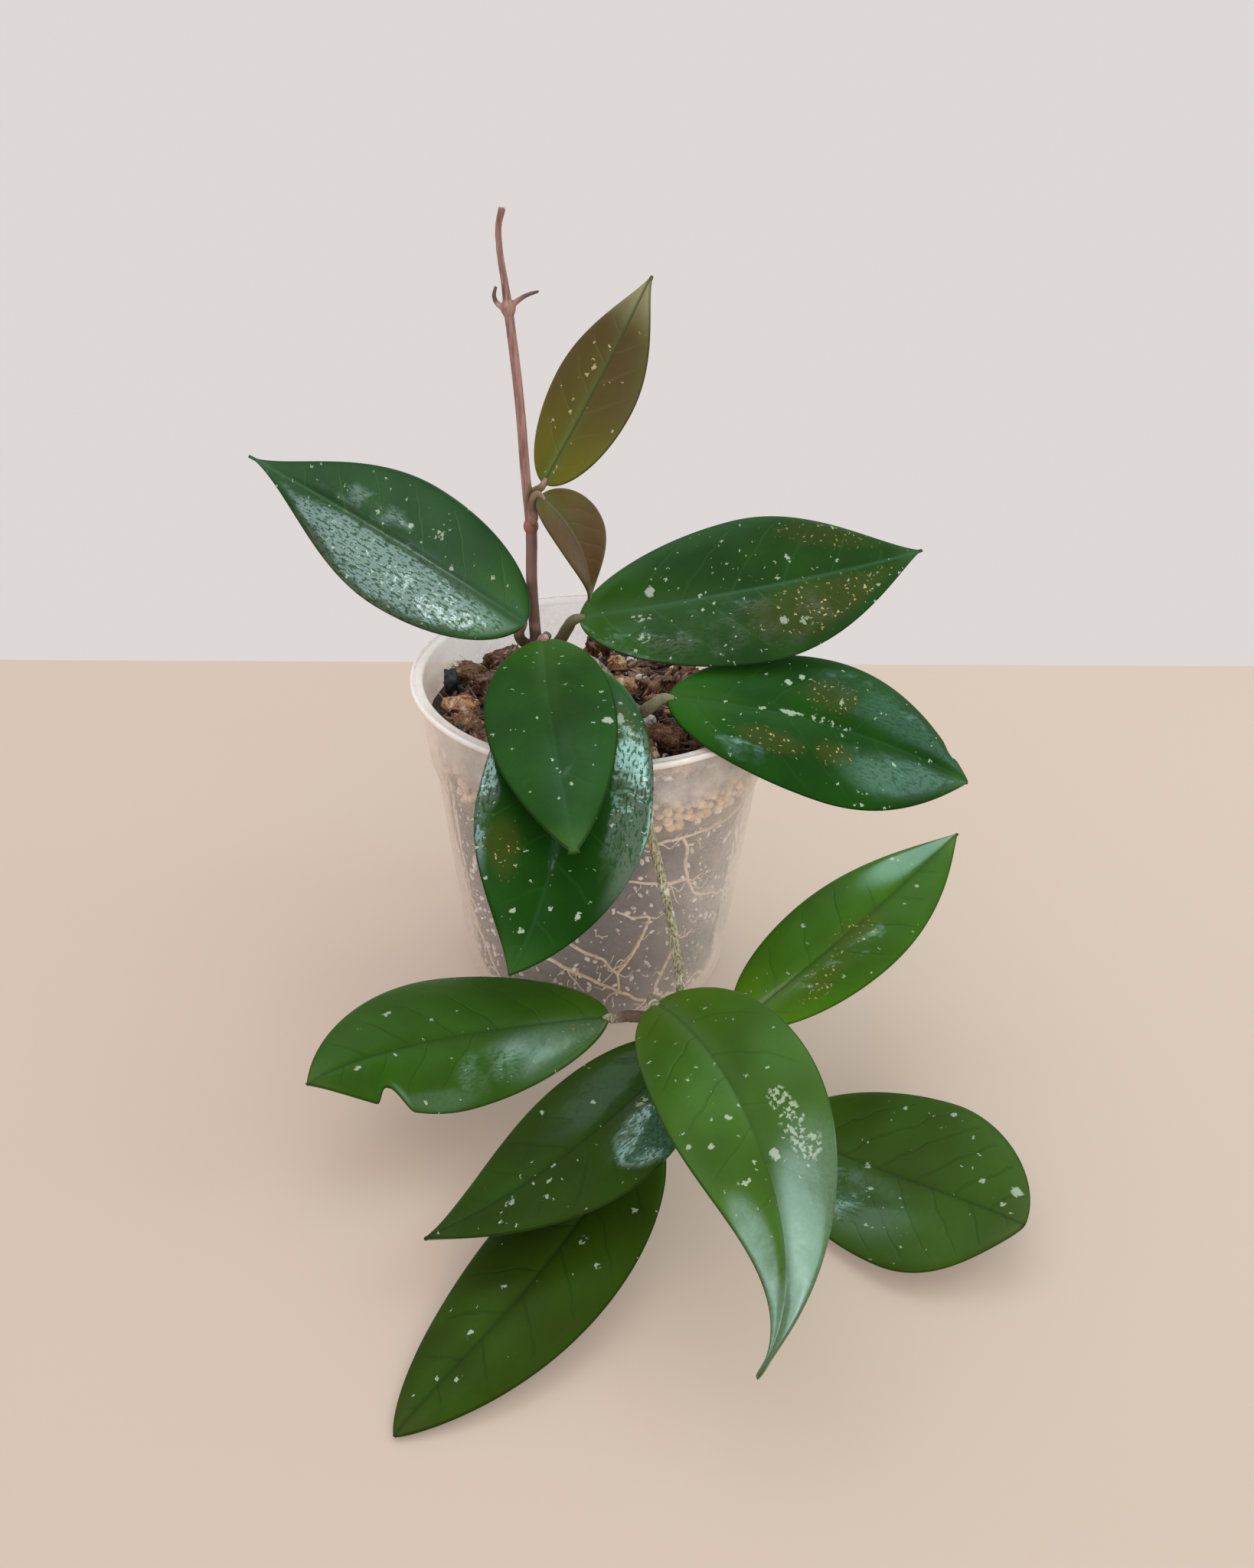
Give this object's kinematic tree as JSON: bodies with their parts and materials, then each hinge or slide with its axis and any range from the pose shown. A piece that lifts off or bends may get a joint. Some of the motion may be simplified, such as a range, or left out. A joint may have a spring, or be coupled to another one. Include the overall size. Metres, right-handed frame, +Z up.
{
  "type": "potted wax plant",
  "caption": "Trailing wax plant with thick pointed leaves, growing in a chunky bark mix in a round clear pot, one stem upright and one hanging over the rim.",
  "frame": {"origin": "centre of the pot's flat underside, on the surface that it stands on", "axes": "+Z up along the pot's axis, -Y to the front, where the vine hangs over the rim, +X to the right as seen from the front"},
  "size_m": [0.2436, 0.2504, 0.2442],
  "materials": {
    "clear_plastic": "thin clear polypropylene, slightly hazy, with a whiter lip",
    "potting_mix": "moist bark and husk mix, dark red-brown, matt",
    "bark": "pine bark chips, fibrous, red-brown",
    "husk": "coconut husk chips, fibrous, brown",
    "charcoal": "horticultural charcoal, black, matt",
    "pumice": "orange-tan pumice and clay pebbles, porous",
    "perlite": "white perlite and pumice grit, porous",
    "root": "pale tan roots",
    "stem": "mauve-brown young stem, smooth",
    "vine_bark": "grey-green mottled corky bark",
    "leaf_green": "thick waxy dark green blade with silver flecks, glossy",
    "leaf_olive": "young olive-green blade, semi-gloss",
    "leaf_bronze": "young bronze-brown blade, semi-gloss"
  },
  "bodies": {
    "root": {"bark_back_left": "bark", "bark_centre": "bark", "bark_front": "bark", "bark_left": "bark", "bark_low_left": "bark", "bark_right": "bark", "bark_splinter": "bark", "charcoal_left": "charcoal", "charcoal_right": "charcoal", "husk_back": "husk", "husk_left": "husk", "husk_low_left": "husk", "husk_right": "husk", "leaf_front_hanging": "leaf_green", "leaf_front_top": "leaf_green", "leaf_low_front_arched": "leaf_green", "leaf_low_front_left": "leaf_green", "leaf_low_left_notched": "leaf_green", "leaf_low_resting": "leaf_green", "leaf_low_right_raised": "leaf_green", "leaf_low_right_round": "leaf_green", "leaf_right": "leaf_green", "leaf_upper_left": "leaf_green", "leaf_upper_right": "leaf_green", "main_stem": "stem", "perlite_back": "perlite", "perlite_block": "perlite", "perlite_centre": "perlite", "pot": "clear_plastic", "potting_mix": "potting_mix", "pumice_back": "pumice", "pumice_centre": "pumice", "pumice_front": "pumice", "pumice_left": "pumice", "pumice_right": "pumice", "roots_back": "root", "roots_back_left": "root", "roots_front_high": "root", "roots_front_low": "root", "roots_left": "root", "roots_right": "root", "trailing_vine": "vine_bark", "young_leaf_nodding": "leaf_bronze", "young_leaf_upright": "leaf_olive"}
  },
  "joints": []
}
